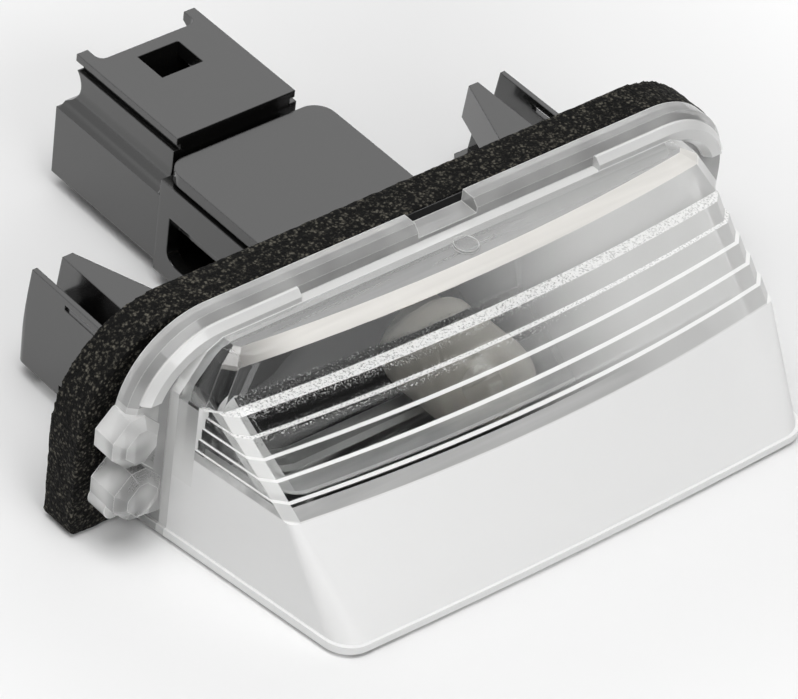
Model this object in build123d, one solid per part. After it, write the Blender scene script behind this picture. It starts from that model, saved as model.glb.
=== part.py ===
from build123d import *
import os

# Clip-in number plate lamp: clear prism lens, foam gasket, moulded housing and wedge bulb.
# It is built with y = 0 at the back of the lens flange and z = 0 at the lowest edge.

# Lens flange, the plate that carries the lens on the housing
flange_half = 36.2
flange_top = 23.5
flange_bottom = 2.2
flange_thick = 2.2
flange_corner = 9.4
flange_foot_corner = 4.0
flange_edge = 0.7
bead_inset = 0.6
bead_wide = 2.3
bead_proud = 0.9
bead_edge = 0.6
bead_end_x = 17.9
bead_drop = 6.6
bead_foot_corner = 1.0
notch_half = 3.5
notch_deep = 1.3

# Lens body, widths are half widths, depths are measured forward from the flange's back face
flange_side = 4.3
cheek_half = flange_half - flange_side
cheek_taper = 0.15
wall = 1.9
rim_rise = 1.8
roof_z = flange_top - rim_rise
hip_wide = 3.7
hip_high = 4.6
roof_half = cheek_half - hip_wide
roof_taper = 0.3
roof_edge = 1.1
ridge_depth = 6.0
ridge_bow = 1.7
brow_run = 1.2
brow_depth = ridge_depth + brow_run
brow_tread = 1.3
step_count = 5
step_top_z = roof_z - hip_high
step_high = 1.23
step_depth = brow_depth + brow_tread
step_slope = 1.45
step_tread = 0.4
step_bow = 1.7
step_bow_growth = 0.1
step_corner = 1.0
step_end_depth = 5.6
cheek_step = 0.2
step_bottom_z = step_top_z - step_count * step_high
step_bottom_depth = step_depth + step_count * step_slope + (step_count - 1) * step_tread
front_run = 7.7
front_depth = step_bottom_depth + front_run
front_bow = 0.5
front_corner = 3.0
rim_high = 1.3
rim_proud = 0.3
rim_edge = 0.5
floor_thick = 1.8
roof_thick = 1.8
front_wall = 3.0
step_wall = 3.2
ridge_wall = 1.0
brow_wall = 1.4
hollow_narrow = 0.4

# Lug at the lens's left end: two faceted lobes and a small round one beside them
lobe_wide = 5.2
lobe_high = 5.5
lobe_corner = 1.8
lobe_inset = 0.7
lobe_x = flange_half - lobe_inset
lobe_z = (13.0, 7.4)
lobe_proud = (1.3, 2.1)
lobe_edge = 0.9
small_lobe_radius = 1.2
small_lobe_out = 1.6
small_lobe_z = 5.9

# Gate mark on the roof
gate_radius = 1.2
gate_depth = 4.9
gate_proud = 0.25

# Housing plate behind the lens flange
plate_margin = 1.5
plate_thick = 1.2
plate_lift = 0.9
plate_foot_corner = 2.0

# Housing body and bulb socket
body_half = 9.8
body_bottom = 1.7
body_top = 9.6
body_wall = 1.4
block_back = 26.8
shroud_half = 9.0
shroud_long = 17.3
body_back = block_back + shroud_long
shoulder_high = 2.8
shoulder_top = body_top + shoulder_high
groove_high = 0.4
groove_deep = 0.9
slab_inset = 0.3
slab_half = body_half - slab_inset
slab_thick = 1.3
slab_top = shoulder_top + groove_high + slab_thick
slab_corner = 2.2
bulkhead_front = 1.4
bulkhead_back = 2.6
socket_back = block_back - bulkhead_front
mouth_front = block_back + bulkhead_back
window_long = 12.0
window_end = 0.3
window_sill = 2.0
window_head = 0.7
window_corner = 1.6
bulb_hole_clear = 0.4
guide_front = 6.0
guide_clear = 0.15

# Latch hood over the connector
hood_gap = 1.2
hood_front = block_back + hood_gap
hood_end = 0.3
hood_back = body_back - hood_end
hood_high = 5.8
hood_top = body_top + hood_high
hood_half = 7.2
hood_lip = 0.8
hood_groove_half = 6.7
hood_groove_high = 0.6
rail_half = 7.5
rail_rise = 2.3
rail_bottom = body_top + rail_rise
hood_wall = 1.7
horn_half = 5.9
horn_long = 2.0
horn_corner = 0.9
horn_scoop = 2.3
horn_scoop_back = 0.9
horn_scoop_rise = 0.4
latch_half = 2.5
latch_from_front = 8.4
latch_long = 3.9
latch_front = hood_front + latch_from_front
latch_back = latch_front + latch_long
latch_bar = 1.8
latch_bar_deep = 2.4

# Snap clips at both ends
clip_inset = 7.35
clip_outer = flange_half - clip_inset
clip_leaf = 0.55
clip_slot = 2.9
clip_arm = 0.6
clip_wedge = 8.4
clip_bottom = 1.7
clip_top = 13.2
clip_back = 23.3
clip_lean = 1.6
clip_bend = 1.2
clip_web = 1.4
clip_open = 5.0
slit_high = 0.6
slit_upper_z = 12.5
slit_lower_z = 2.9
slit_back = 16.6
slit_front = 6.4

# Foam gasket
foam_side = 2.8
foam_half = flange_half + foam_side
foam_bottom = 0.3
foam_drop = 1.35
foam_top = flange_top - foam_drop
foam_thick = 4.2
foam_corner = 11.4
foam_foot_corner = 0.8
foam_hole_clear = 0.9
foam_hole_half = clip_outer + foam_hole_clear
foam_hole_drop = 0.2
foam_hole_bottom = body_bottom - foam_hole_drop
foam_hole_rise = 0.3
foam_hole_top = hood_top + foam_hole_rise
foam_hole_corner = 1.4

# Wedge bulb
bulb_lift = 6.3
bulb_z = body_bottom + bulb_lift
bulb_radius = 5.1
bulb_tip = -14.0
bulb_long = 26.8
bulb_glass_thick = 0.8
bulb_cap_long = 2.1
bulb_cap_inset = 1.1
bulb_dome_long = 12.6
bulb_shoulder_long = 16.4
bulb_neck = bulb_tip + bulb_dome_long
bulb_shoulder = bulb_tip + bulb_shoulder_long
bulb_base_end = bulb_tip + bulb_long
base_half = 4.7
base_thick = 2.4
wire_x = 2.5
wire_radius = 0.25
wire_fold = 5.0
filament_depth = 7.8
filament_radius = 0.35

# Brass contacts
contact_thick = 0.5
contact_wide = 3.0
spring_front = 6.0
spring_gap = 1.1
blade_wide = 2.8
blade_short = 4.7
blade_back = body_back - blade_short
blade_lift = 3.6
blade_z = body_bottom + blade_lift


def block(x0, x1, y0, y1, z0, z1):
    centre = Pos((x0 + x1) / 2, (y0 + y1) / 2, (z0 + z1) / 2)
    return centre * Box(x1 - x0, y1 - y0, z1 - z0)


def both_sides(shape):
    return shape + mirror(shape, about=Plane.YZ)


def arch(half, bottom, top, corner, foot_corner):
    face = Pos(0, (bottom + top) / 2) * Rectangle(2 * half, top - bottom)
    face = fillet(face.vertices().group_by(Axis.Y)[-1], corner)
    return fillet(face.vertices().group_by(Axis.Y)[0], foot_corner)


def slab_along_y(face, y0, y1):
    return Pos(0, y0, 0) * extrude(Plane.XZ * face, amount=y1 - y0, dir=(0, 1, 0))


def layer_face(z, root_half, corner_half, depth, bow, corner, recess=0.0, cut=fillet):
    left = [(-root_half, 0.0)]
    if recess > 0.0:
        jog = root_half - (root_half - corner_half) * step_end_depth / depth
        left.append((-jog, -step_end_depth))
        left.append((-jog + recess, -step_end_depth - recess / 2))
        corner_half = corner_half - recess
    left.append((-corner_half, -depth))
    right = [(-x, y) for x, y in reversed(left)]
    edges = Polyline(*left) + ThreePointArc(left[-1], (0, -depth - bow), right[0])
    edges = edges + Polyline(*right) + Line(right[-1], left[0])
    face = make_face(edges)
    tips = [v for v in face.vertices() if abs(v.Y + depth) < 1e-4]
    return Pos(0, 0, z) * cut(tips, corner)


def half_at(depth):
    return cheek_half - cheek_taper * depth


def step_z(index):
    return step_top_z - index * step_high


def stepped_body():
    brow_half = half_at(brow_depth)
    roof = loft([
        layer_face(roof_z, roof_half, roof_half - roof_taper, ridge_depth, ridge_bow, step_corner,
                   cut=chamfer),
        layer_face(step_top_z, cheek_half, brow_half, brow_depth, step_bow, step_corner, cut=chamfer),
    ], ruled=True)
    ridge = [e for e in roof.edges().group_by(Axis.Z)[-1] if e.center().Y < -flange_thick / 2]
    body = chamfer(ridge, roof_edge)
    for index in range(step_count):
        depth = step_depth + index * (step_slope + step_tread)
        bow = step_bow + index * step_bow_growth
        recess = (step_count - 1 - index) * cheek_step
        upper = layer_face(step_z(index), cheek_half, half_at(depth), depth, bow, step_corner, recess, chamfer)
        depth = depth + step_slope
        lower = layer_face(step_z(index + 1), cheek_half, half_at(depth), depth, bow, step_corner, recess,
                           chamfer)
        body = body + loft([upper, lower], ruled=True)
    front = loft([
        layer_face(step_bottom_z, cheek_half, half_at(depth), depth, bow, step_corner),
        layer_face(rim_high, cheek_half, half_at(front_depth), front_depth, front_bow, front_corner),
    ], ruled=True)
    rim_half = half_at(front_depth) + rim_proud
    rim_depth = front_depth + rim_proud
    rim_faces = []
    for z, inset in ((rim_high, 0.0), (rim_edge, 0.0), (0.0, rim_edge)):
        rim_faces.append(layer_face(z, cheek_half + rim_proud - inset, rim_half - inset,
                                    rim_depth - inset, front_bow, front_corner))
    rim = loft(rim_faces[:2], ruled=True) + loft(rim_faces[1:], ruled=True)
    return body + front + rim


def lens_hollow():
    low_depth = front_depth - front_wall
    middle_depth = step_bottom_depth - step_wall
    brow_inside = brow_depth - brow_wall
    high_depth = ridge_depth - ridge_wall
    low = layer_face(floor_thick, cheek_half - wall, half_at(low_depth) - wall,
                     low_depth, front_bow, front_corner)
    middle = layer_face(step_bottom_z, cheek_half - wall, half_at(middle_depth) - wall - hollow_narrow,
                        middle_depth, step_bow, front_corner)
    brow = layer_face(step_top_z, cheek_half - wall, half_at(brow_inside) - wall - hollow_narrow,
                      brow_inside, step_bow, front_corner)
    high = layer_face(roof_z - roof_thick, roof_half - roof_taper, roof_half - wall - hollow_narrow,
                      high_depth, ridge_bow, front_corner)
    levels = [low, middle, brow, high]
    hollow = loft(levels[:2], ruled=True)
    for index in (1, 2):
        hollow = hollow + loft(levels[index:index + 2], ruled=True)
    return hollow


def end_lug():
    lug = None
    outline = Rectangle(lobe_wide, lobe_high)
    outline = chamfer(outline.vertices(), lobe_corner)
    for z, proud in zip(lobe_z, lobe_proud):
        lobe = slab_along_y(Pos(-lobe_x, z) * outline, -flange_thick - proud, 0)
        lobe = chamfer(lobe.edges().group_by(Axis.Y)[0], lobe_edge)
        lug = lobe if lug is None else lug + lobe
    small = Pos(-lobe_x - small_lobe_out, -small_lobe_radius, small_lobe_z) * Rot(90, 0, 0)
    return lug + small * Cylinder(small_lobe_radius, 2 * small_lobe_radius)


def flange_bead():
    outer = arch(flange_half - bead_inset, flange_bottom, flange_top - bead_inset,
                 flange_corner - bead_inset, bead_foot_corner)
    inset = bead_inset + bead_wide
    inner = arch(flange_half - inset, flange_bottom, flange_top - inset,
                 flange_corner - inset, bead_foot_corner)
    ring = slab_along_y(outer - inner, -flange_thick - bead_proud, -flange_thick)
    ring = chamfer(ring.edges().group_by(Axis.Y)[0], bead_edge)
    keep = block(-flange_half, -bead_end_x, -flange_thick - bead_proud, 0, flange_top - bead_drop, flange_top)
    return both_sides(ring & keep)


def make_lens():
    flange = slab_along_y(arch(flange_half, flange_bottom, flange_top, flange_corner,
                               flange_foot_corner), -flange_thick, 0)
    flange = chamfer(flange.edges().group_by(Axis.Y)[0], flange_edge)
    lens = flange + stepped_body() + flange_bead() + end_lug()
    gate = Pos(0, -gate_depth, roof_z) * Cylinder(gate_radius, 2 * gate_proud)
    lens = lens + gate - lens_hollow()
    return lens - block(-notch_half, notch_half, -flange_thick - bead_proud, 0,
                        flange_top - notch_deep, flange_top)


def make_foam():
    outer = arch(foam_half, foam_bottom, foam_top, foam_corner, foam_foot_corner)
    hole = arch(foam_hole_half, foam_hole_bottom, foam_hole_top, foam_hole_corner, foam_hole_corner)
    return slab_along_y(outer - hole, plate_thick, plate_thick + foam_thick)


def hood_solid():
    lip = hood_top - hood_lip
    groove = lip - hood_groove_high
    right = [(0, hood_top), (hood_half, hood_top), (hood_half, lip), (hood_groove_half, lip),
             (hood_groove_half, groove), (rail_half, groove), (rail_half, rail_bottom)]
    skirt = (shroud_half, body_top)
    edges = Polyline(*right) + TangentArc(right[-1], skirt, tangent=(0, -1))
    edges = edges + Polyline(skirt, (0, body_top), (0, hood_top))
    half = slab_along_y(make_face(edges), hood_front, hood_back)
    hood = both_sides(half)
    notch = Rectangle(2 * horn_half, 2 * horn_long)
    notch = fillet(notch.vertices(), horn_corner)
    horn_cut = Pos(0, hood_back, rail_bottom) * extrude(notch, amount=hood_top)
    scoop = Pos(0, hood_back + horn_scoop_back, rail_bottom + horn_scoop_rise) * Rot(0, 90, 0)
    scoop = scoop * Cylinder(horn_scoop, 2 * body_half)
    return hood - horn_cut - scoop


def upper_block():
    slab = Pos(0, (block_back + plate_thick) / 2) * Rectangle(2 * slab_half, block_back - plate_thick)
    slab = fillet(slab.vertices().group_by(Axis.Y)[-1], slab_corner)
    neck_top = shoulder_top + groove_high
    neck_half = slab_half - groove_deep
    top = Pos(0, 0, neck_top) * extrude(slab, amount=slab_top - neck_top)
    neck = block(-neck_half, neck_half, plate_thick, block_back - slab_corner, shoulder_top, neck_top)
    shoulder = block(-body_half, body_half, plate_thick, block_back, body_top, shoulder_top)
    return shoulder + neck + top


def side_window():
    back = socket_back - window_end
    bottom = body_bottom + window_sill
    top = body_top - window_head
    face = Pos(back - window_long / 2, (bottom + top) / 2) * Rectangle(window_long, top - bottom)
    lower = face.vertices().sort_by(Axis.Y)[:2].sort_by(Axis.X)[-1]
    face = fillet(lower, window_corner)
    cut = extrude(Plane.YZ * face, amount=2 * body_half)
    return both_sides(Pos(body_half - 2 * body_wall, 0, 0) * cut)


def snap_clip():
    inner = clip_outer - clip_leaf - clip_slot - clip_arm
    outline = [(clip_outer, plate_thick / 2), (clip_outer, clip_back), (inner, clip_back),
               (inner - clip_wedge, plate_thick / 2)]
    face = make_face(Polyline(*outline, close=True))
    tips = face.vertices().group_by(Axis.Y)[-1]
    face = fillet(tips, clip_bend)
    solid = Pos(0, 0, clip_bottom) * extrude(face, amount=clip_top - clip_bottom)
    slot_inner = clip_outer - clip_leaf - clip_slot
    slot_outer = clip_outer - clip_leaf
    web_front = clip_back - clip_lean - clip_web
    solid = solid - block(slot_inner, slot_outer, slit_front, web_front, clip_bottom, clip_top)
    solid = solid - block(slot_inner, slot_outer, slit_front, clip_back, clip_top - clip_open, clip_top)
    for z in (slit_upper_z, slit_lower_z):
        solid = solid - block(clip_outer - 2 * clip_leaf, clip_outer, slit_front, slit_back, z - slit_high, z)
    tongue_end = block(clip_outer - 2 * clip_leaf, clip_outer, slit_front - slit_high, slit_front,
                       slit_lower_z - slit_high, slit_upper_z)
    solid = solid - tongue_end
    lean = make_face(Polyline((clip_back - clip_lean, clip_top), (clip_back, clip_top),
                              (clip_back, clip_bottom), close=True))
    return solid - Pos(inner - clip_wedge, 0, 0) * extrude(Plane.YZ * lean, amount=clip_outer)


def make_housing():
    plate = slab_along_y(arch(flange_half - plate_margin, foam_bottom + plate_lift,
                              flange_top - plate_margin, flange_corner - plate_margin,
                              plate_foot_corner), 0, plate_thick)
    body = block(-body_half, body_half, plate_thick, block_back, body_bottom, body_top)
    body = body + block(-shroud_half, shroud_half, block_back, body_back, body_bottom, body_top)
    inner = body_half - body_wall
    mouth = shroud_half - body_wall
    floor_z = body_bottom + body_wall
    housing = plate + body + upper_block() + hood_solid() + both_sides(snap_clip())
    housing = housing - block(-inner, inner, plate_thick, socket_back, floor_z, slab_top - body_wall)
    housing = housing - block(-mouth, mouth, mouth_front, body_back, floor_z, body_top - body_wall)
    housing = housing - block(-horn_half, horn_half, mouth_front, body_back,
                              body_top - body_wall, hood_top - hood_wall)
    housing = housing - block(-latch_half, latch_half, latch_front, latch_back, body_top, hood_top)
    bar_top = hood_top - hood_wall
    housing = housing + block(-horn_half, horn_half, latch_back, latch_back + latch_bar,
                              bar_top - latch_bar_deep, bar_top)
    housing = housing - side_window()
    hole = Pos(0, plate_thick / 2, bulb_z) * Rot(90, 0, 0) * Cylinder(bulb_radius + bulb_hole_clear, plate_thick)
    guide_half = base_half + guide_clear
    guide = block(guide_half, inner, guide_front, socket_back,
                  bulb_z - base_thick / 2, bulb_z + base_thick / 2)
    return housing - hole + both_sides(guide)


def bulb_shell():
    centre = bulb_tip + bulb_radius
    dome = Pos(0, centre, bulb_z) * Sphere(bulb_radius)
    along = Pos(0, 0, bulb_z) * Rot(-90, 0, 0)
    tube = along * Pos(0, 0, (centre + bulb_neck) / 2) * Cylinder(bulb_radius, bulb_neck - centre)
    neck = along * Pos(0, 0, (bulb_neck + bulb_shoulder) / 2)
    return dome + tube + neck * Cone(bulb_radius, base_thick / 2, bulb_shoulder - bulb_neck)


def bulb_hollow():
    radius = bulb_radius - bulb_glass_thick
    centre = bulb_tip + bulb_radius
    along = Pos(0, 0, bulb_z) * Rot(-90, 0, 0)
    tube = along * Pos(0, 0, (centre + bulb_neck) / 2) * Cylinder(radius, bulb_neck - centre)
    cap = along * Pos(0, 0, centre - bulb_cap_long / 2)
    cap = cap * Cone(radius - bulb_cap_inset, radius, bulb_cap_long)
    return tube + cap


def make_wire(side):
    lift = base_thick / 2 + wire_radius
    path = [(side * wire_x, -filament_depth, bulb_z), (side * wire_x, bulb_base_end + wire_radius, bulb_z),
            (side * wire_x, bulb_base_end + wire_radius, bulb_z + lift),
            (side * wire_x, bulb_base_end - wire_fold, bulb_z + lift)]
    line = Polyline(*path)
    section = Plane(origin=path[0], z_dir=(0, 1, 0)) * Circle(wire_radius)
    return sweep(section, path=line, transition=Transition.RIGHT)


def make_glass(wires):
    base = block(-base_half, base_half, bulb_neck, bulb_base_end,
                 bulb_z - base_thick / 2, bulb_z + base_thick / 2)
    glass = bulb_shell() + base - bulb_hollow()
    for wire in wires:
        glass = glass - wire
    return glass


def make_filament():
    coil = Pos(0, -filament_depth - wire_radius, bulb_z) * Rot(0, 90, 0)
    return coil * Cylinder(filament_radius, 2 * wire_x)


def make_contact(side):
    x0 = wire_x - contact_wide / 2
    x1 = wire_x + contact_wide / 2
    low = bulb_z - base_thick / 2
    high = bulb_z + base_thick / 2 + 2 * wire_radius
    web = bulb_base_end + spring_gap
    shape = block(x0, x1, spring_front, web, high, high + contact_thick)
    shape = shape + block(x0, x1, spring_front, web, low - contact_thick, low)
    shape = shape + block(x0, x1, web - contact_thick, web, low - contact_thick, high + contact_thick)
    blade_mid = (x0 + x1) / 2
    shape = shape + block(x0, x1, web - contact_thick, socket_back, low - contact_thick, low)
    drop = block(x0, x1, socket_back - contact_thick, socket_back, blade_z, low)
    blade = block(blade_mid - blade_wide / 2, blade_mid + blade_wide / 2,
                  socket_back - contact_thick, blade_back, blade_z, blade_z + contact_thick)
    shape = shape + drop + blade
    return shape if side > 0 else mirror(shape, about=Plane.YZ)


wire_left = make_wire(-1)
wire_right = make_wire(1)
contact_left = make_contact(-1)
contact_right = make_contact(1)
nodes = {
    "lens": make_lens(),
    "foam_gasket": make_foam(),
    "housing": make_housing() - contact_left - contact_right,
    "bulb_glass": make_glass((wire_left, wire_right)),
    "bulb_filament": make_filament() - wire_left - wire_right,
    "bulb_wire_left": wire_left,
    "bulb_wire_right": wire_right,
    "contact_left": contact_left,
    "contact_right": contact_right,
}

# The row's origin is the middle of the panel seat, on the gasket's back face
seat = Pos(0, -plate_thick - foam_thick, -(foam_bottom + foam_top) / 2)
os.makedirs("parts", exist_ok=True)
for name, shape in nodes.items():
    export_step(seat * shape, "parts/" + name + ".step")
    print(name, len(shape.solids()), round(shape.volume, 1))
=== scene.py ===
import math
import bmesh
import bpy
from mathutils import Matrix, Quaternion, Vector


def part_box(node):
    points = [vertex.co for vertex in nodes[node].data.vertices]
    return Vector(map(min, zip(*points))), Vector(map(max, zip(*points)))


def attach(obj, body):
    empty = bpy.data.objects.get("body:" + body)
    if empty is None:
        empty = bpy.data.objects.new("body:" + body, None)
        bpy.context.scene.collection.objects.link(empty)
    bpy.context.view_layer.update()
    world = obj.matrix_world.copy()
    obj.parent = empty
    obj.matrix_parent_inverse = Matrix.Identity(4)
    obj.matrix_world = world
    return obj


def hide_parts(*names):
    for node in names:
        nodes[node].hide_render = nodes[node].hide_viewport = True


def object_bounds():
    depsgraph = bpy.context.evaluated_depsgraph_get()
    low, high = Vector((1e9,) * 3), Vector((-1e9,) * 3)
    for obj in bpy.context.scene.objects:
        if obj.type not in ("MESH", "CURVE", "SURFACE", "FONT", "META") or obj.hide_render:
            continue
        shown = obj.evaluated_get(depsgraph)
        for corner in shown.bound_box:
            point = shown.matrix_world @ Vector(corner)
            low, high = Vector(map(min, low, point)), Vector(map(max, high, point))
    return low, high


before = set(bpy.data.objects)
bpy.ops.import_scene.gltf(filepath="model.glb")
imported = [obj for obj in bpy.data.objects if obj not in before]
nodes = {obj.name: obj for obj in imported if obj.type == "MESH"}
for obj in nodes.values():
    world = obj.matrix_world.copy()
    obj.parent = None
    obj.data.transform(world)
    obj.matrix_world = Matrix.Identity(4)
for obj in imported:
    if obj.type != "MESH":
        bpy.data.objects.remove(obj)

mm = 0.001
hair = 0.001 * mm      # closer than this is the same place
cadLow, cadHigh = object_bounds()
print("frame loaded with", len(nodes), "nodes")


# Shader sums are written as plain expressions on these sockets
class Wire:
    def __init__(self, finish, socket):
        self.finish = finish
        self.socket = socket

    def sum(self, operation, first, second):
        return self.finish.add("ShaderNodeMath", {"operation": operation}, {0: first, 1: second})

    def __add__(self, other):
        return self.sum("ADD", self, other)

    def __radd__(self, other):
        return self.sum("ADD", other, self)

    def __sub__(self, other):
        return self.sum("SUBTRACT", self, other)

    def __rsub__(self, other):
        return self.sum("SUBTRACT", other, self)

    def __mul__(self, other):
        return self.sum("MULTIPLY", self, other)

    def __rmul__(self, other):
        return self.sum("MULTIPLY", other, self)

    def __gt__(self, other):
        return self.sum("GREATER_THAN", self, other)

    def __lt__(self, other):
        return self.sum("LESS_THAN", self, other)

    def __abs__(self):
        return self.sum("ABSOLUTE", self, 0.0)

    def most(self, other):
        return self.sum("MAXIMUM", self, other)


# One node tree of a material or of the world
class Finish:
    def __init__(self, owner):
        self.owner = owner
        owner.use_nodes = True
        self.nodes = owner.node_tree.nodes
        self.links = owner.node_tree.links
        self.nodes.clear()

    def add(self, kind, settings=None, sockets=None, out=0):
        node = self.nodes.new(kind)
        for name, value in (settings or {}).items():
            setattr(node, name, value)
        for name, value in (sockets or {}).items():
            if isinstance(value, Wire):
                self.links.new(value.socket, node.inputs[name])
            else:
                node.inputs[name].default_value = value
        return Wire(self, node.outputs[out]) if len(node.outputs) else node

    def place(self):
        return self.add("ShaderNodeTexCoord", out="Object")

    def axes(self, kind="Object"):
        place = self.add("ShaderNodeTexCoord", out=kind)
        return [self.add("ShaderNodeSeparateXYZ", None, {0: place}, out) for out in range(3)]

    def stretched(self, scale):
        return self.add("ShaderNodeMapping", None, {"Vector": self.place(), "Scale": scale})

    def noise(self, scale, detail=2.0, roughness=0.5, place=None):
        sockets = {"Scale": scale, "Detail": detail, "Roughness": roughness}
        sockets["Vector"] = place or self.place()
        return self.add("ShaderNodeTexNoise", None, sockets)

    def cells(self, scale):
        return self.add("ShaderNodeTexVoronoi", None, {"Vector": self.place(), "Scale": scale})

    def blend(self, factor, first, second):
        return self.add("ShaderNodeMix", {"data_type": "RGBA"}, {"Factor": factor, 6: first, 7: second}, 2)

    def smooth(self, value, low, high, toLow=0.0, toHigh=1.0):
        sockets = {0: value, 1: low, 2: high, 3: toLow, 4: toHigh}
        return self.add("ShaderNodeMapRange", {"interpolation_type": "SMOOTHSTEP"}, sockets)

    def between(self, value, low, high):
        return (value > low) * (value < high)

    def bump(self, height, strength, distance, normal=None):
        sockets = {"Height": height, "Strength": strength, "Distance": distance}
        if normal is not None:
            sockets["Normal"] = normal
        return self.add("ShaderNodeBump", None, sockets)

    def roundEdge(self, radius, samples=6):
        return self.add("ShaderNodeBevel", {"samples": samples}, {"Radius": radius})

    # Mask of where a rounded edge bends away from its face, for painted edge highlights
    def edgeLine(self, bent, level=0.98, turned=0.85):
        face = self.add("ShaderNodeNewGeometry", out="Normal")
        along = self.add("ShaderNodeVectorMath", {"operation": "DOT_PRODUCT"}, {0: bent, 1: face}, "Value")
        return self.smooth(abs(along), level, turned)

    def rays(self, names):
        total = 0.0
        for name in names:
            total = self.add("ShaderNodeLightPath", out=name) + total
        return total

    def principled(self, sockets):
        return self.add("ShaderNodeBsdfPrincipled", None, sockets)

    def mixShader(self, factor, first, second):
        return self.add("ShaderNodeMixShader", None, {0: factor, 1: first, 2: second})

    def show(self, shader, output="ShaderNodeOutputMaterial"):
        self.add(output, None, {"Surface": shader})
        return self.owner


def newFinish(name):
    return Finish(bpy.data.materials.new(name))


def dress(piece, material):
    piece.data.materials.clear()
    piece.data.materials.append(material)


def clearSelection():
    if bpy.context.object and bpy.context.object.mode != "OBJECT":
        bpy.ops.object.mode_set(mode="OBJECT")
    bpy.ops.object.select_all(action="DESELECT")


# Selects the edges of the mesh in edit mode that a test picks
def pickEdges(piece, test):
    bpy.ops.mesh.select_mode(type="EDGE")
    bpy.ops.mesh.select_all(action="DESELECT")
    mesh = bmesh.from_edit_mesh(piece.data)
    for edge in mesh.edges:
        if test(edge):
            edge.select_set(True)
    mesh.select_flush_mode()
    bmesh.update_edit_mesh(piece.data)


def liesAt(edge, axis, level):
    return all(abs(vert.co[axis] - level) < hair for vert in edge.verts)


def edgeSpan(edge, axis):
    return abs(edge.verts[0].co[axis] - edge.verts[1].co[axis])


def addBlock(name, middle, size):
    clearSelection()
    bpy.ops.mesh.primitive_cube_add(size=1.0, location=middle, scale=size)
    piece = bpy.context.object
    piece.name = name
    bpy.ops.object.transform_apply(location=True, rotation=True, scale=True)
    return piece


# A circle that faces along Y
def addRing(name, middle, radius, sides):
    clearSelection()
    bpy.ops.mesh.primitive_circle_add(vertices=sides, radius=radius, fill_type="NOTHING",
                                      location=middle, rotation=(math.pi / 2, 0.0, 0.0))
    piece = bpy.context.object
    piece.name = name
    bpy.ops.object.transform_apply(location=True, rotation=True, scale=True)
    return piece


def applyModifier(piece, kind, settings):
    modifier = piece.modifiers.new(kind.title(), kind)
    for name, value in settings.items():
        setattr(modifier, name, value)
    bpy.context.view_layer.objects.active = piece
    bpy.ops.object.modifier_apply(modifier=modifier.name)


def settle(piece, smoothAngle=40.0):
    clearSelection()
    piece.select_set(True)
    bpy.context.view_layer.objects.active = piece
    bpy.ops.object.transform_apply(location=True, rotation=True, scale=True)
    bpy.ops.object.shade_smooth_by_angle(angle=math.radians(smoothAngle))
    piece.select_set(False)
    print(piece.name, "has", len(piece.data.polygons), "faces")


# Foam gasket: an arched ring with a grainy skin
foamLook = {
    "topCorner": 11.4 * mm,
    "footCorner": 0.8 * mm,
    "holeHalf": 29.75 * mm,
    "holeLow": -9.725 * mm,
    "holeHigh": 4.475 * mm,
    "holeCorner": 1.4 * mm,
    "cornerCuts": 16,
    "skinCell": 0.24 * mm,
    "grainSize": 1.1 * mm,
    "grainOctaves": 3,
    "grainDepth": 0.22 * mm,
    "grainLevel": 0.85,        # most of the grain goes inwards
    "smoothAngle": 80.0,
    "speckScale": 3000.0,
    "cloudScale": 1900.0,
    "pitDepth": 0.35 * mm,
    "dark": (0.004, 0.004, 0.0038, 1.0),
    "grain": (0.13, 0.122, 0.1, 1.0),
}


def archBlock(name, half, low, high, front, back, topCorner, footCorner):
    middle = (0.0, (front + back) / 2, (low + high) / 2)
    piece = addBlock(name, middle, (2 * half, back - front, high - low))
    bpy.ops.object.mode_set(mode="EDIT")
    for level, corner in ((high, topCorner), (low, footCorner)):
        pickEdges(piece, lambda edge: liesAt(edge, 2, level) and edgeSpan(edge, 0) < hair)
        bpy.ops.mesh.bevel(offset=corner, segments=foamLook["cornerCuts"], affect="EDGES")
    bpy.ops.object.mode_set(mode="OBJECT")
    return piece


def foamFinish():
    finish = newFinish("foam")
    speck = finish.cells(foamLook["speckScale"])
    cloud = finish.noise(foamLook["cloudScale"], 3.0, 0.75)
    lit = finish.smooth(cloud, 0.44, 0.66) * finish.smooth(speck, 0.7, 0.2)
    body = finish.principled({
        "Base Color": finish.blend(lit, foamLook["dark"], foamLook["grain"]),
        "Roughness": 0.8,
        "Specular IOR Level": 0.12,
        "Normal": finish.bump(cloud + 0.5 * speck, 0.9, foamLook["pitDepth"]),
    })
    return finish.show(body)


def makeFoam():
    low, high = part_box("foam_gasket")
    foam = archBlock("foamRing", high[0], low[2], high[2], low[1], high[1],
                     foamLook["topCorner"], foamLook["footCorner"])
    hole = archBlock("foamHole", foamLook["holeHalf"], foamLook["holeLow"], foamLook["holeHigh"],
                     2 * low[1], -low[1], foamLook["holeCorner"], foamLook["holeCorner"])
    applyModifier(foam, "BOOLEAN", {"operation": "DIFFERENCE", "object": hole, "solver": "EXACT"})
    bpy.data.objects.remove(hole)
    applyModifier(foam, "REMESH", {"mode": "VOXEL", "voxel_size": foamLook["skinCell"]})
    grain = bpy.data.textures.new("foamGrain", "CLOUDS")
    grain.noise_scale = foamLook["grainSize"]
    grain.noise_depth = foamLook["grainOctaves"]
    applyModifier(foam, "DISPLACE", {
        "texture": grain,
        "strength": foamLook["grainDepth"],
        "mid_level": foamLook["grainLevel"],
    })
    settle(foam, foamLook["smoothAngle"])
    dress(foam, foamFinish())
    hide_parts("foam_gasket")
    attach(foam, "root")


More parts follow.
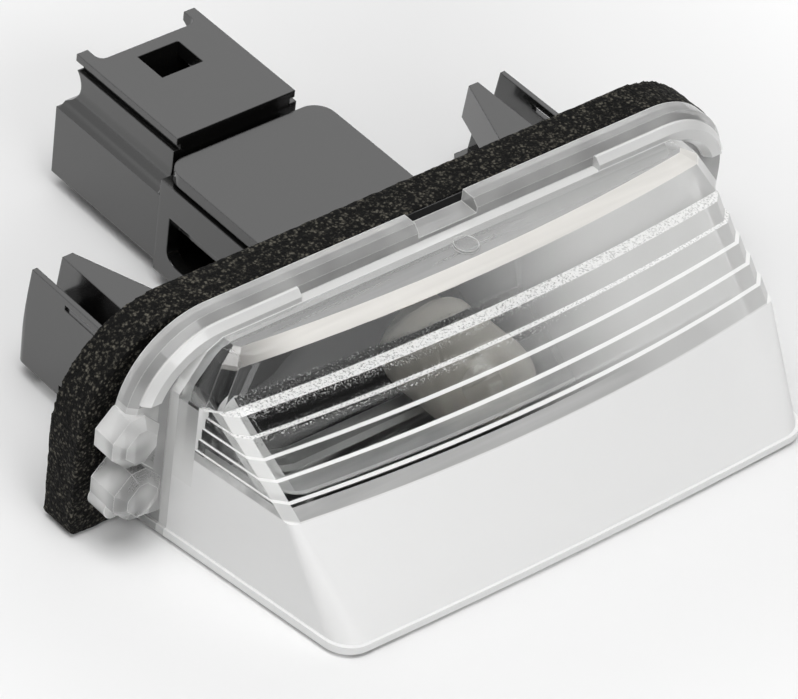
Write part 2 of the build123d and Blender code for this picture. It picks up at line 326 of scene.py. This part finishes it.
# Bulb: a thin blown envelope, its pinched base and the coil
bulbLook = {
    "glassThick": 0.45 * mm,
    "sides": 48,
    "domeSteps": 7,
    "pinchSteps": 5,
    "neckY": -6.8 * mm,
    "pinchY": -3.0 * mm,
    "baseHalf": 4.7 * mm,
    "baseThick": 2.4 * mm,
    "baseCorner": 0.8 * mm,
    "baseCuts": 5,
    "coilTurns": 22,
    "coilSteps": 14,           # to each turn
    "coilWire": 0.06 * mm,
    "coilSides": 8,
    "glassTint": (1.0, 0.985, 0.96, 1.0),
    "glassMilk": 0.22,
    "baseTint": (1.0, 0.86, 0.66, 1.0),
    "baseMilk": 0.5,
    "bloom": (0.95, 0.9, 0.82, 1.0),
    "rimReflectionBlend": 0.3,
    "rimReflectionGain": 1.1,
    "streakScale": 60.0,
    "streakPull": (1.0, 0.2, 1.0),
}


def glassFinish(name, tint, milk):
    finish = newFinish(name)
    streak = finish.noise(bulbLook["streakScale"], place=finish.stretched(bulbLook["streakPull"]))
    clear = finish.principled({
        "Base Color": tint,
        "Transmission Weight": 1.0,
        "IOR": 1.5,
        "Roughness": 0.02 * streak,
    })
    bloom = finish.principled({"Base Color": bulbLook["bloom"], "Roughness": 0.5})
    # Painted reflection ring: the glass turns milkier white towards its outline
    rim = finish.add("ShaderNodeLayerWeight", None, {"Blend": bulbLook["rimReflectionBlend"]}, "Facing")
    return finish.show(finish.mixShader(milk + bulbLook["rimReflectionGain"] * rim, clear, bloom))


def ringCentre(piece):
    mesh = bmesh.from_edit_mesh(piece.data)
    chosen = [vert.co for vert in mesh.verts if vert.select]
    return sum(chosen, Vector()) / len(chosen)


def growRing(along, across=(1.0, 1.0, 1.0)):
    bpy.ops.mesh.extrude_edges_move(TRANSFORM_OT_translate={"value": (0.0, along, 0.0)})
    bpy.ops.transform.resize(value=across, center_override=ringCentre(bpy.context.object))


# From the ring that is selected out to the tip of the dome
def blowDome(glass, radius, tipY):
    growRing(tipY + radius - bulbLook["neckY"])
    quarter = math.pi / 2 / bulbLook["domeSteps"]
    for step in range(bulbLook["domeSteps"] - 1):
        before = step * quarter
        after = before + quarter
        across = math.cos(after) / math.cos(before)
        growRing(-radius * (math.sin(after) - math.sin(before)), (across, 1.0, across))
    growRing(tipY - ringCentre(glass).y)
    bpy.ops.mesh.merge(type="CENTER")


# From the ring that is selected back to the flat base
def pinchNeck(radius):
    steps = bulbLook["pinchSteps"]
    along = (bulbLook["pinchY"] - bulbLook["neckY"]) / steps
    ends = (bulbLook["baseHalf"] / radius, bulbLook["baseThick"] / 2 / radius)
    before = (1.0, 1.0)
    for step in range(1, steps + 1):
        ease = (1.0 - math.cos(math.pi * step / steps)) / 2
        after = [1.0 + (end - 1.0) * ease for end in ends]
        growRing(along, (after[0] / before[0], 1.0, after[1] / before[1]))
        before = after


def makeEnvelope():
    low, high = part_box("bulb_glass")
    radius = (high[0] - low[0]) / 2
    middleZ = (low[2] + high[2]) / 2
    glass = addRing("bulbEnvelope", (0.0, bulbLook["neckY"], middleZ), radius, bulbLook["sides"])
    bpy.ops.object.mode_set(mode="EDIT")
    bpy.ops.mesh.select_mode(type="EDGE")
    bpy.ops.mesh.select_all(action="SELECT")
    blowDome(glass, radius, low[1])
    pickEdges(glass, lambda edge: liesAt(edge, 1, bulbLook["neckY"]))
    pinchNeck(radius)
    bpy.ops.mesh.select_all(action="SELECT")
    bpy.ops.mesh.remove_doubles(threshold=hair)
    bpy.ops.mesh.normals_make_consistent(inside=False)
    bpy.ops.object.mode_set(mode="OBJECT")
    applyModifier(glass, "SOLIDIFY", {
        "thickness": bulbLook["glassThick"],
        "offset": -1.0,
        "use_even_offset": True,
    })
    settle(glass)
    dress(glass, glassFinish("bulbGlass", bulbLook["glassTint"], bulbLook["glassMilk"]))
    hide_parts("bulb_glass")
    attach(glass, "root")
    return middleZ, high[1]


def makeBase(middleZ, endY):
    startY = bulbLook["pinchY"]
    size = (2 * bulbLook["baseHalf"], endY - startY, bulbLook["baseThick"])
    base = addBlock("bulbBase", (0.0, (startY + endY) / 2, middleZ), size)
    bpy.ops.object.mode_set(mode="EDIT")
    pickEdges(base, lambda edge: edgeSpan(edge, 1) > size[1] / 2)
    bpy.ops.mesh.bevel(offset=bulbLook["baseCorner"], segments=bulbLook["baseCuts"], affect="EDGES")
    bpy.ops.object.mode_set(mode="OBJECT")
    settle(base)
    dress(base, glassFinish("bulbBase", bulbLook["baseTint"], bulbLook["baseMilk"]))
    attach(base, "root")


def makeCoil(material):
    low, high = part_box("bulb_filament")
    wire = bulbLook["coilWire"]
    turns = bulbLook["coilTurns"]
    steps = bulbLook["coilSteps"]
    reach = (high[2] - low[2]) / 2 - wire
    length = high[0] - low[0] - 2 * wire
    coil = addRing("bulbCoil", (0.0, 0.0, reach), wire, bulbLook["coilSides"])
    coil.location = (low[0] + wire, (low[1] + high[1]) / 2, (low[2] + high[2]) / 2)
    applyModifier(coil, "SCREW", {
        "axis": "X",
        "iterations": turns,
        "steps": steps,
        "render_steps": steps,
        "screw_offset": length / turns,
        "use_normal_calculate": True,
    })
    bpy.ops.object.mode_set(mode="EDIT")
    bpy.ops.mesh.select_all(action="DESELECT")
    bpy.ops.mesh.select_non_manifold()
    bpy.ops.mesh.edge_face_add()
    bpy.ops.mesh.select_all(action="SELECT")
    bpy.ops.mesh.normals_make_consistent(inside=False)
    bpy.ops.object.mode_set(mode="OBJECT")
    settle(coil)
    dress(coil, material)
    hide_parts("bulb_filament")
    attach(coil, "root")


# Clear lens, frosted below the prisms, with a milky film that carries painted reflections and highlights
lensLook = {
    "tint": (0.985, 0.995, 0.99, 1.0),
    "frostTint": (0.93, 0.93, 0.925, 1.0),
    "hazeTint": (0.96, 0.96, 0.95, 1.0),
    "warmReflectionTint": (0.97, 0.945, 0.9, 1.0),
    "ior": 1.49,
    "edge": 0.2 * mm,
    # Places on the lens
    "frostTopZ": -0.28 * mm,
    "frontY": -22.0 * mm,        # the front at the top of the frost
    "frontSlope": 0.81,          # how far the front leans out for each step down
    "cheekX": 31.76 * mm,
    "cheekSlope": 0.15,
    "cheekTopZ": 5.5 * mm,
    "cheekLowZ": -3.4 * mm,
    "cheekClear": 3.2 * mm,      # beside the flange the cheek stays clear further down
    "flangeFrontY": -8.6 * mm,
    "beadBackY": -7.65 * mm,
    "lugX": -32.8 * mm,
    "lugTopZ": 5.2 * mm,
    "roofLowZ": 9.2 * mm,
    "stepBackY": -11.0 * mm,
    "stepMargin": 0.15 * mm,
    "stepTopZ": 5.88 * mm,
    "secondStepZ": 4.49 * mm,
    "grainyLowZ": 4.2 * mm,
    "brushTopZ": 3.2 * mm,
    "lastStepZ": 0.75 * mm,
    "ridgeFade": (-29.0 * mm, -20.0 * mm),
    "farFade": (-6.0 * mm, 16.0 * mm),
    # Which way a face looks, as a share of its normal
    "treadUp": 0.93,
    "roofUp": 0.95,
    "ridgeUp": (0.45, 0.9),
    "mitreTurn": (0.35, 0.93),
    "forward": -0.2,
    "endOn": 0.3,
    # Patterns
    "dustScale": 5200.0,
    "satinScale": 1500.0,
    "streakScale": 420.0,
    "streakPull": (0.03, 1.0, 1.0),
    "iceScale": 240.0,
    # How white each place is, from milky film and from painted reflections and highlights
    "flangeHazeAndReflection": 0.36,
    "beadHazeAndHighlight": 0.75,
    "lugHazeAndHighlight": 0.4,
    "cheekHazeAndReflection": (0.4, 0.95),    # at the top and low down
    "farReflection": 0.6,
    "edgeHighlight": 0.8,
    "treadHazeAndReflection": 0.95,
    "mitreHaze": 0.7,
    "ridgeHazeAndReflection": 0.8,
    "roofHaze": 0.28,
    "brushHaze": 0.22,
    "lastRiserHazeAndLight": 0.5,
    "lineHaze": 0.85,
    "lineWidth": (0.16 * mm, 0.08 * mm),
    "dustHaze": 0.6,
    "topDust": 0.6 * mm,
    "secondDust": 0.5 * mm,
}


# Where each part of the lens is, from 0 to 1
def lensMasks(finish):
    look = lensLook
    x, y, z = finish.axes()
    nx, ny, nz = finish.axes("Normal")
    onFront = y < (z - look["frostTopZ"]) * look["frontSlope"] + look["frontY"]
    onCheek = abs(x) > y * look["cheekSlope"] + look["cheekX"]
    inBody = y < look["flangeFrontY"]
    onTop = (z > look["roofLowZ"]) * inBody
    beside = y > look["stepBackY"]
    frostTop = look["frostTopZ"] - beside * look["cheekClear"]
    lug = (x < look["lugX"]) * (z < look["lugTopZ"])
    lowest = look["frostTopZ"] - look["stepMargin"]
    highest = look["stepTopZ"] + look["stepMargin"]
    prisms = finish.between(z, lowest, highest) * (y < look["stepBackY"])
    tread = (nz > look["treadUp"]) * prisms
    roof = (nz > look["roofUp"]) * onTop
    flange = 1.0 - inBody
    downCheek = finish.smooth(z, look["cheekTopZ"], look["cheekLowZ"], *look["cheekHazeAndReflection"])
    toRight = finish.smooth(x, *look["farFade"])
    return {
        "frost": (onFront + onCheek > 0.5) * (z < frostTop) * inBody * (1.0 - lug),
        "prisms": prisms,
        "tread": tread,
        "grainy": (z > look["grainyLowZ"]) * tread,
        "mitre": finish.between(abs(nx), *look["mitreTurn"]) * prisms * (ny < look["forward"]),
        "ridge": finish.between(nz, *look["ridgeUp"]) * (ny < look["forward"]) * onTop,
        "roof": roof,
        "flange": flange,
        "bead": flange * (y < look["beadBackY"]),
        "lug": lug,
        "cheek": onCheek * beside * downCheek * inBody * (z < look["cheekTopZ"]),
        "far": toRight * (z > look["frostTopZ"]) * inBody * (1.0 - roof),
    }


# Milky film on the prism steps, with painted reflection whitening the treads and painted light whitening
# the lowest riser
def stepHazeAndReflection(finish, masks, streak):
    look = lensLook
    y, z = finish.axes()[1:]
    prisms = masks["prisms"]
    brushes = prisms * (z < look["brushTopZ"]) * finish.smooth(streak, 0.45, 0.7, 0.0, look["brushHaze"])
    # Painted light: the lowest riser is whitened for the light seen through it
    lastRiser = prisms * (z < look["lastStepZ"]) * look["lastRiserHazeAndLight"] * (0.5 + streak)
    lowLine = prisms * finish.smooth(abs(z - look["frostTopZ"]), *look["lineWidth"]) * look["lineHaze"]
    sparkle = finish.smooth(finish.noise(look["dustScale"], 2.0, 0.7), 0.3, 0.52, 0.3, 1.0)
    grainy = masks["grainy"]
    treads = masks["tread"] * look["treadHazeAndReflection"] * (1.0 - grainy + grainy * sparkle)
    # White dust thins out above and below the two widest treads
    dust = finish.smooth(finish.noise(look["dustScale"], 2.0, 0.75), 0.54, 0.64)
    nearTop = finish.smooth(abs(z - look["stepTopZ"]), look["topDust"], 0.0)
    nearSecond = finish.smooth(abs(z - look["secondStepZ"]), look["secondDust"], 0.0)
    dusty = dust * nearTop.most(nearSecond) * (y < look["stepBackY"]) * look["dustHaze"]
    mitre = masks["mitre"] * look["mitreHaze"]
    return brushes.most(lastRiser).most(lowLine).most(treads).most(dusty).most(mitre)


# Milky film all over the lens, with painted reflections and highlights on the ridge, flange, bead, cheeks,
# lug, edges and right side
def lensHazeAndReflection(finish, masks, bent, streak, ice):
    look = lensLook
    x = finish.axes()[0]
    lug = masks["lug"]
    # Milky film and painted reflection: the ridge grows whiter from the left towards the right
    fade = finish.smooth(x, *look["ridgeFade"], 0.25, 1.0)
    ridge = masks["ridge"] * fade * look["ridgeHazeAndReflection"] * (0.7 + 0.6 * streak)
    roof = masks["roof"] * look["roofHaze"] * (0.4 + 1.2 * streak)
    # Milky film with painted reflections and highlights on the flange, bead, cheeks and lug
    flange = masks["flange"] * look["flangeHazeAndReflection"] * (0.6 + 0.8 * ice)
    bead = masks["bead"] * look["beadHazeAndHighlight"]
    # Painted reflection: the lens turns white towards its right side, outside the roof
    far = masks["far"] * look["farReflection"]
    haze = stepHazeAndReflection(finish, masks, streak).most(ridge).most(roof).most(flange).most(bead)
    haze = haze.most(masks["cheek"]).most(far)
    icy = look["lugHazeAndHighlight"] * finish.smooth(ice, 0.3, 0.7, 0.5, 1.6)
    # Painted highlights along the rounded edges of the lens
    line = finish.edgeLine(bent) * look["edgeHighlight"]
    return (lug * icy + (1.0 - lug) * haze).most(line)


def clearLensFinish():
    look = lensLook
    finish = newFinish("clearLens")
    masks = lensMasks(finish)
    bent = finish.roundEdge(look["edge"])
    streak = finish.noise(look["streakScale"], 3.0, 0.6, finish.stretched(look["streakPull"]))
    nx = finish.axes("Normal")[0]
    brushed = streak * (abs(nx) < look["endOn"])
    ice = finish.noise(look["iceScale"], 1.0)
    softGrain = finish.noise(look["satinScale"])
    clear = finish.principled({
        "Base Color": look["tint"],
        "Transmission Weight": 1.0,
        "IOR": look["ior"],
        "Roughness": 0.01 + masks["prisms"] * 0.05 * streak,
        "Normal": finish.bump(brushed, 0.03, 0.02 * mm, bent),
    })
    milk = finish.principled({
        # The ridge's milk gets a warm painted reflection tint
        "Base Color": finish.blend(masks["ridge"], look["hazeTint"], look["warmReflectionTint"]),
        "Transmission Weight": 0.15,
        "IOR": look["ior"],
        "Roughness": 0.35,
        "Coat Weight": 0.8,
        "Coat Roughness": 0.05,
        "Normal": finish.bump(ice, 0.15, 0.25 * mm),
    })
    satin = finish.principled({
        "Base Color": look["frostTint"],
        "Transmission Weight": 0.18,
        "IOR": look["ior"],
        "Roughness": 0.45,
        "Normal": finish.bump(softGrain, 0.12, 0.05 * mm),
    })
    body = finish.mixShader(lensHazeAndReflection(finish, masks, bent, streak, ice), clear, milk)
    return finish.show(finish.mixShader(masks["frost"], body, satin))


# Moulded black housing; behind the lens it gets painted shade, darker and with its reflections damped
housingLook = {
    "dark": (0.004, 0.004, 0.0038, 1.0),
    "light": (0.009, 0.009, 0.0086, 1.0),
    "inside": (0.004, 0.004, 0.004, 1.0),
    "insideY": -4.3 * mm,
    "edge": 0.2 * mm,
    "grainScale": 2500.0,
    "grainDepth": 0.05 * mm,
    "blotchScale": 90.0,
}


def blackPlasticFinish():
    finish = newFinish("blackPlastic")
    grain = finish.noise(housingLook["grainScale"], 3.0)
    blotch = finish.noise(housingLook["blotchScale"])
    bent = finish.roundEdge(housingLook["edge"])
    body = finish.principled({
        "Base Color": finish.blend(blotch, housingLook["dark"], housingLook["light"]),
        "Roughness": 0.12 + 0.1 * grain,
        "Specular IOR Level": 1.0,
        "Coat Weight": 0.3,
        "Coat Roughness": 0.1,
        "Normal": finish.bump(grain, 0.03, housingLook["grainDepth"], bent),
    })
    # Painted shade: the housing behind the lens is darker and barely reflects
    shadedInside = finish.principled({
        "Base Color": housingLook["inside"],
        "Roughness": 0.7 + 0.2 * grain,
        "Specular IOR Level": 0.12,
    })
    y = finish.axes()[1]
    return finish.show(finish.mixShader(y < housingLook["insideY"], body, shadedInside))


# Contacts, lead wires and coil, with fine marks from drawing the metal
metalLook = {
    "contactBrass": {"colour": (0.75, 0.58, 0.28), "roughness": 0.25},
    "leadWire": {"colour": (0.6, 0.58, 0.55), "roughness": 0.3},
    "tungsten": {"colour": (0.35, 0.34, 0.33), "roughness": 0.4},
    "markShade": 0.8,
    "markScale": 1500.0,
    "markPull": (1.0, 0.05, 1.0),
    "grainScale": 3000.0,
}


def metalFinish(name):
    finish = newFinish(name)
    colour = metalLook[name]["colour"]
    darker = [metalLook["markShade"] * value for value in colour]
    grain = finish.noise(metalLook["grainScale"])
    drawn = finish.noise(metalLook["markScale"], 2.0, 0.6, finish.stretched(metalLook["markPull"]))
    body = finish.principled({
        "Base Color": finish.blend(drawn, (*colour, 1.0), (*darker, 1.0)),
        "Metallic": 1.0,
        "Roughness": metalLook[name]["roughness"] + 0.1 * grain,
    })
    return finish.show(body)


brass = metalFinish("contactBrass")
steel = metalFinish("leadWire")
dress(nodes["lens"], clearLensFinish())
dress(nodes["housing"], blackPlasticFinish())
for side in ("left", "right"):
    dress(nodes["bulb_wire_" + side], steel)
    dress(nodes["contact_" + side], brass)
print("lens, housing, wires and contacts have their finishes")
makeFoam()
makeBase(*makeEnvelope())
makeCoil(metalFinish("tungsten"))
print("foam and bulb are made")


# Stage: floor, light and camera
stageLook = {
    "floorSize": 6.0,
    "floorColour": (0.8, 0.8, 0.8, 1.0),
    "floorLift": 0.27,           # how much brighter the floor shows than it is lit
    "liftFade": (35.0 * mm, 110.0 * mm),
    "liftNear": (0.0, 0.0, 0.0, 1.0),
    "liftFar": (1.0, 1.0, 1.0, 1.0),
    "worldLight": 0.55,
    "frontShade": 0.12,          # the open side of the light tent, behind the camera
    "tentSide": 0.4,
    "tentRise": 0.3,
    "tentFade": (-0.45, 0.35),
    "shownRays": ("Is Camera Ray", "Is Glossy Ray", "Is Transmission Ray"),
}


def makeFloor():
    clearSelection()
    bpy.ops.mesh.primitive_plane_add(size=stageLook["floorSize"], location=(0, 0, cadLow.z))
    floor = bpy.context.object
    floor.name = "floor"
    finish = newFinish("floor")
    x, y = finish.axes()[:2]
    lit = finish.add("ShaderNodeBsdfDiffuse", None, {"Color": stageLook["floorColour"]})
    fade = stageLook["liftFade"]
    away = finish.smooth(abs(x), *fade).most(finish.smooth(abs(y), *fade))
    lift = finish.add("ShaderNodeEmission", None, {
        "Color": finish.blend(away, stageLook["liftNear"], stageLook["liftFar"]),
        "Strength": finish.rays(stageLook["shownRays"]) * stageLook["floorLift"],
    })
    dress(floor, finish.show(finish.add("ShaderNodeAddShader", None, {0: lit, 1: lift})))


def makeWorld():
    world = bpy.data.worlds.new("studio")
    bpy.context.scene.world = world
    finish = Finish(world)
    seen = finish.rays(stageLook["shownRays"][:1])
    # Gloss and glass see a white tent, but not after a matt bounce
    mirrored = finish.rays(stageLook["shownRays"][1:]) * (finish.rays(["Diffuse Depth"]) < 0.5)
    x, y, z = finish.axes("Generated")
    lean = y - stageLook["tentSide"] * x + stageLook["tentRise"] * z
    tent = finish.smooth(lean, *stageLook["tentFade"], stageLook["frontShade"], 1.0)
    strength = (stageLook["worldLight"] + (1.0 - stageLook["worldLight"]) * mirrored) * tent
    back = finish.add("ShaderNodeBackground", None, {"Strength": strength.most(seen)})
    finish.show(back, "ShaderNodeOutputWorld")


lampLook = {
    "backLight": {"towards": (0.59, 0.54, 0.6), "distance": 0.6, "size": (0.5, 0.4), "power": 0.25},
    "topLeft": {"towards": (-0.6, 0.4, 0.8), "distance": 0.7, "size": (0.4, 0.4), "power": 0.15},
    "overhead": {"towards": (-0.2, -0.15, 1.0), "distance": 0.8, "size": (0.6, 0.5), "power": 4.6},
    "frontLow": {"towards": (-0.1, -0.9, 0.5), "distance": 0.8, "size": (0.5, 0.4), "power": 2.0},
}


def softbox(name, towards, distance, size, power):
    light = bpy.data.lights.new(name, "AREA")
    light.shape = "RECTANGLE"
    light.size, light.size_y = size
    light.energy = power
    lamp = bpy.data.objects.new(name, light)
    bpy.context.scene.collection.objects.link(lamp)
    direction = Vector(towards).normalized()
    lamp.location = direction * distance
    lamp.rotation_mode = "QUATERNION"
    lamp.rotation_quaternion = (-direction).to_track_quat("-Z", "Y")


cameraLook = {
    "target": (0.99 * mm, -2.49 * mm, -7.85 * mm),
    "distance": 490.69 * mm,
    "azimuth": -44.67,
    "elevation": 39.31,
    "roll": 7.67,
    "lens": 234.59,
    "sensor": 36.0,
    "nearest": 0.01,
    "farthest": 20.0,
}


def makeCamera():
    data = bpy.data.cameras.new("photoCamera")
    camera = bpy.data.objects.new("photoCamera", data)
    bpy.context.scene.collection.objects.link(camera)
    data.lens = cameraLook["lens"]
    data.sensor_width = cameraLook["sensor"]
    data.clip_start = cameraLook["nearest"]
    data.clip_end = cameraLook["farthest"]
    azimuth = math.radians(cameraLook["azimuth"])
    elevation = math.radians(cameraLook["elevation"])
    flat = math.cos(elevation)
    ahead = Vector((-math.sin(azimuth) * flat, math.cos(azimuth) * flat, -math.sin(elevation)))
    camera.location = Vector(cameraLook["target"]) - ahead * cameraLook["distance"]
    camera.rotation_mode = "QUATERNION"
    roll = Quaternion((0, 0, 1), math.radians(cameraLook["roll"]))
    camera.rotation_quaternion = ahead.to_track_quat("-Z", "Y") @ roll
    bpy.context.scene.camera = camera


makeFloor()
makeWorld()
for name, settings in lampLook.items():
    softbox(name, **settings)
makeCamera()
bpy.context.scene.view_settings.view_transform = "Standard"
print("stage is set")
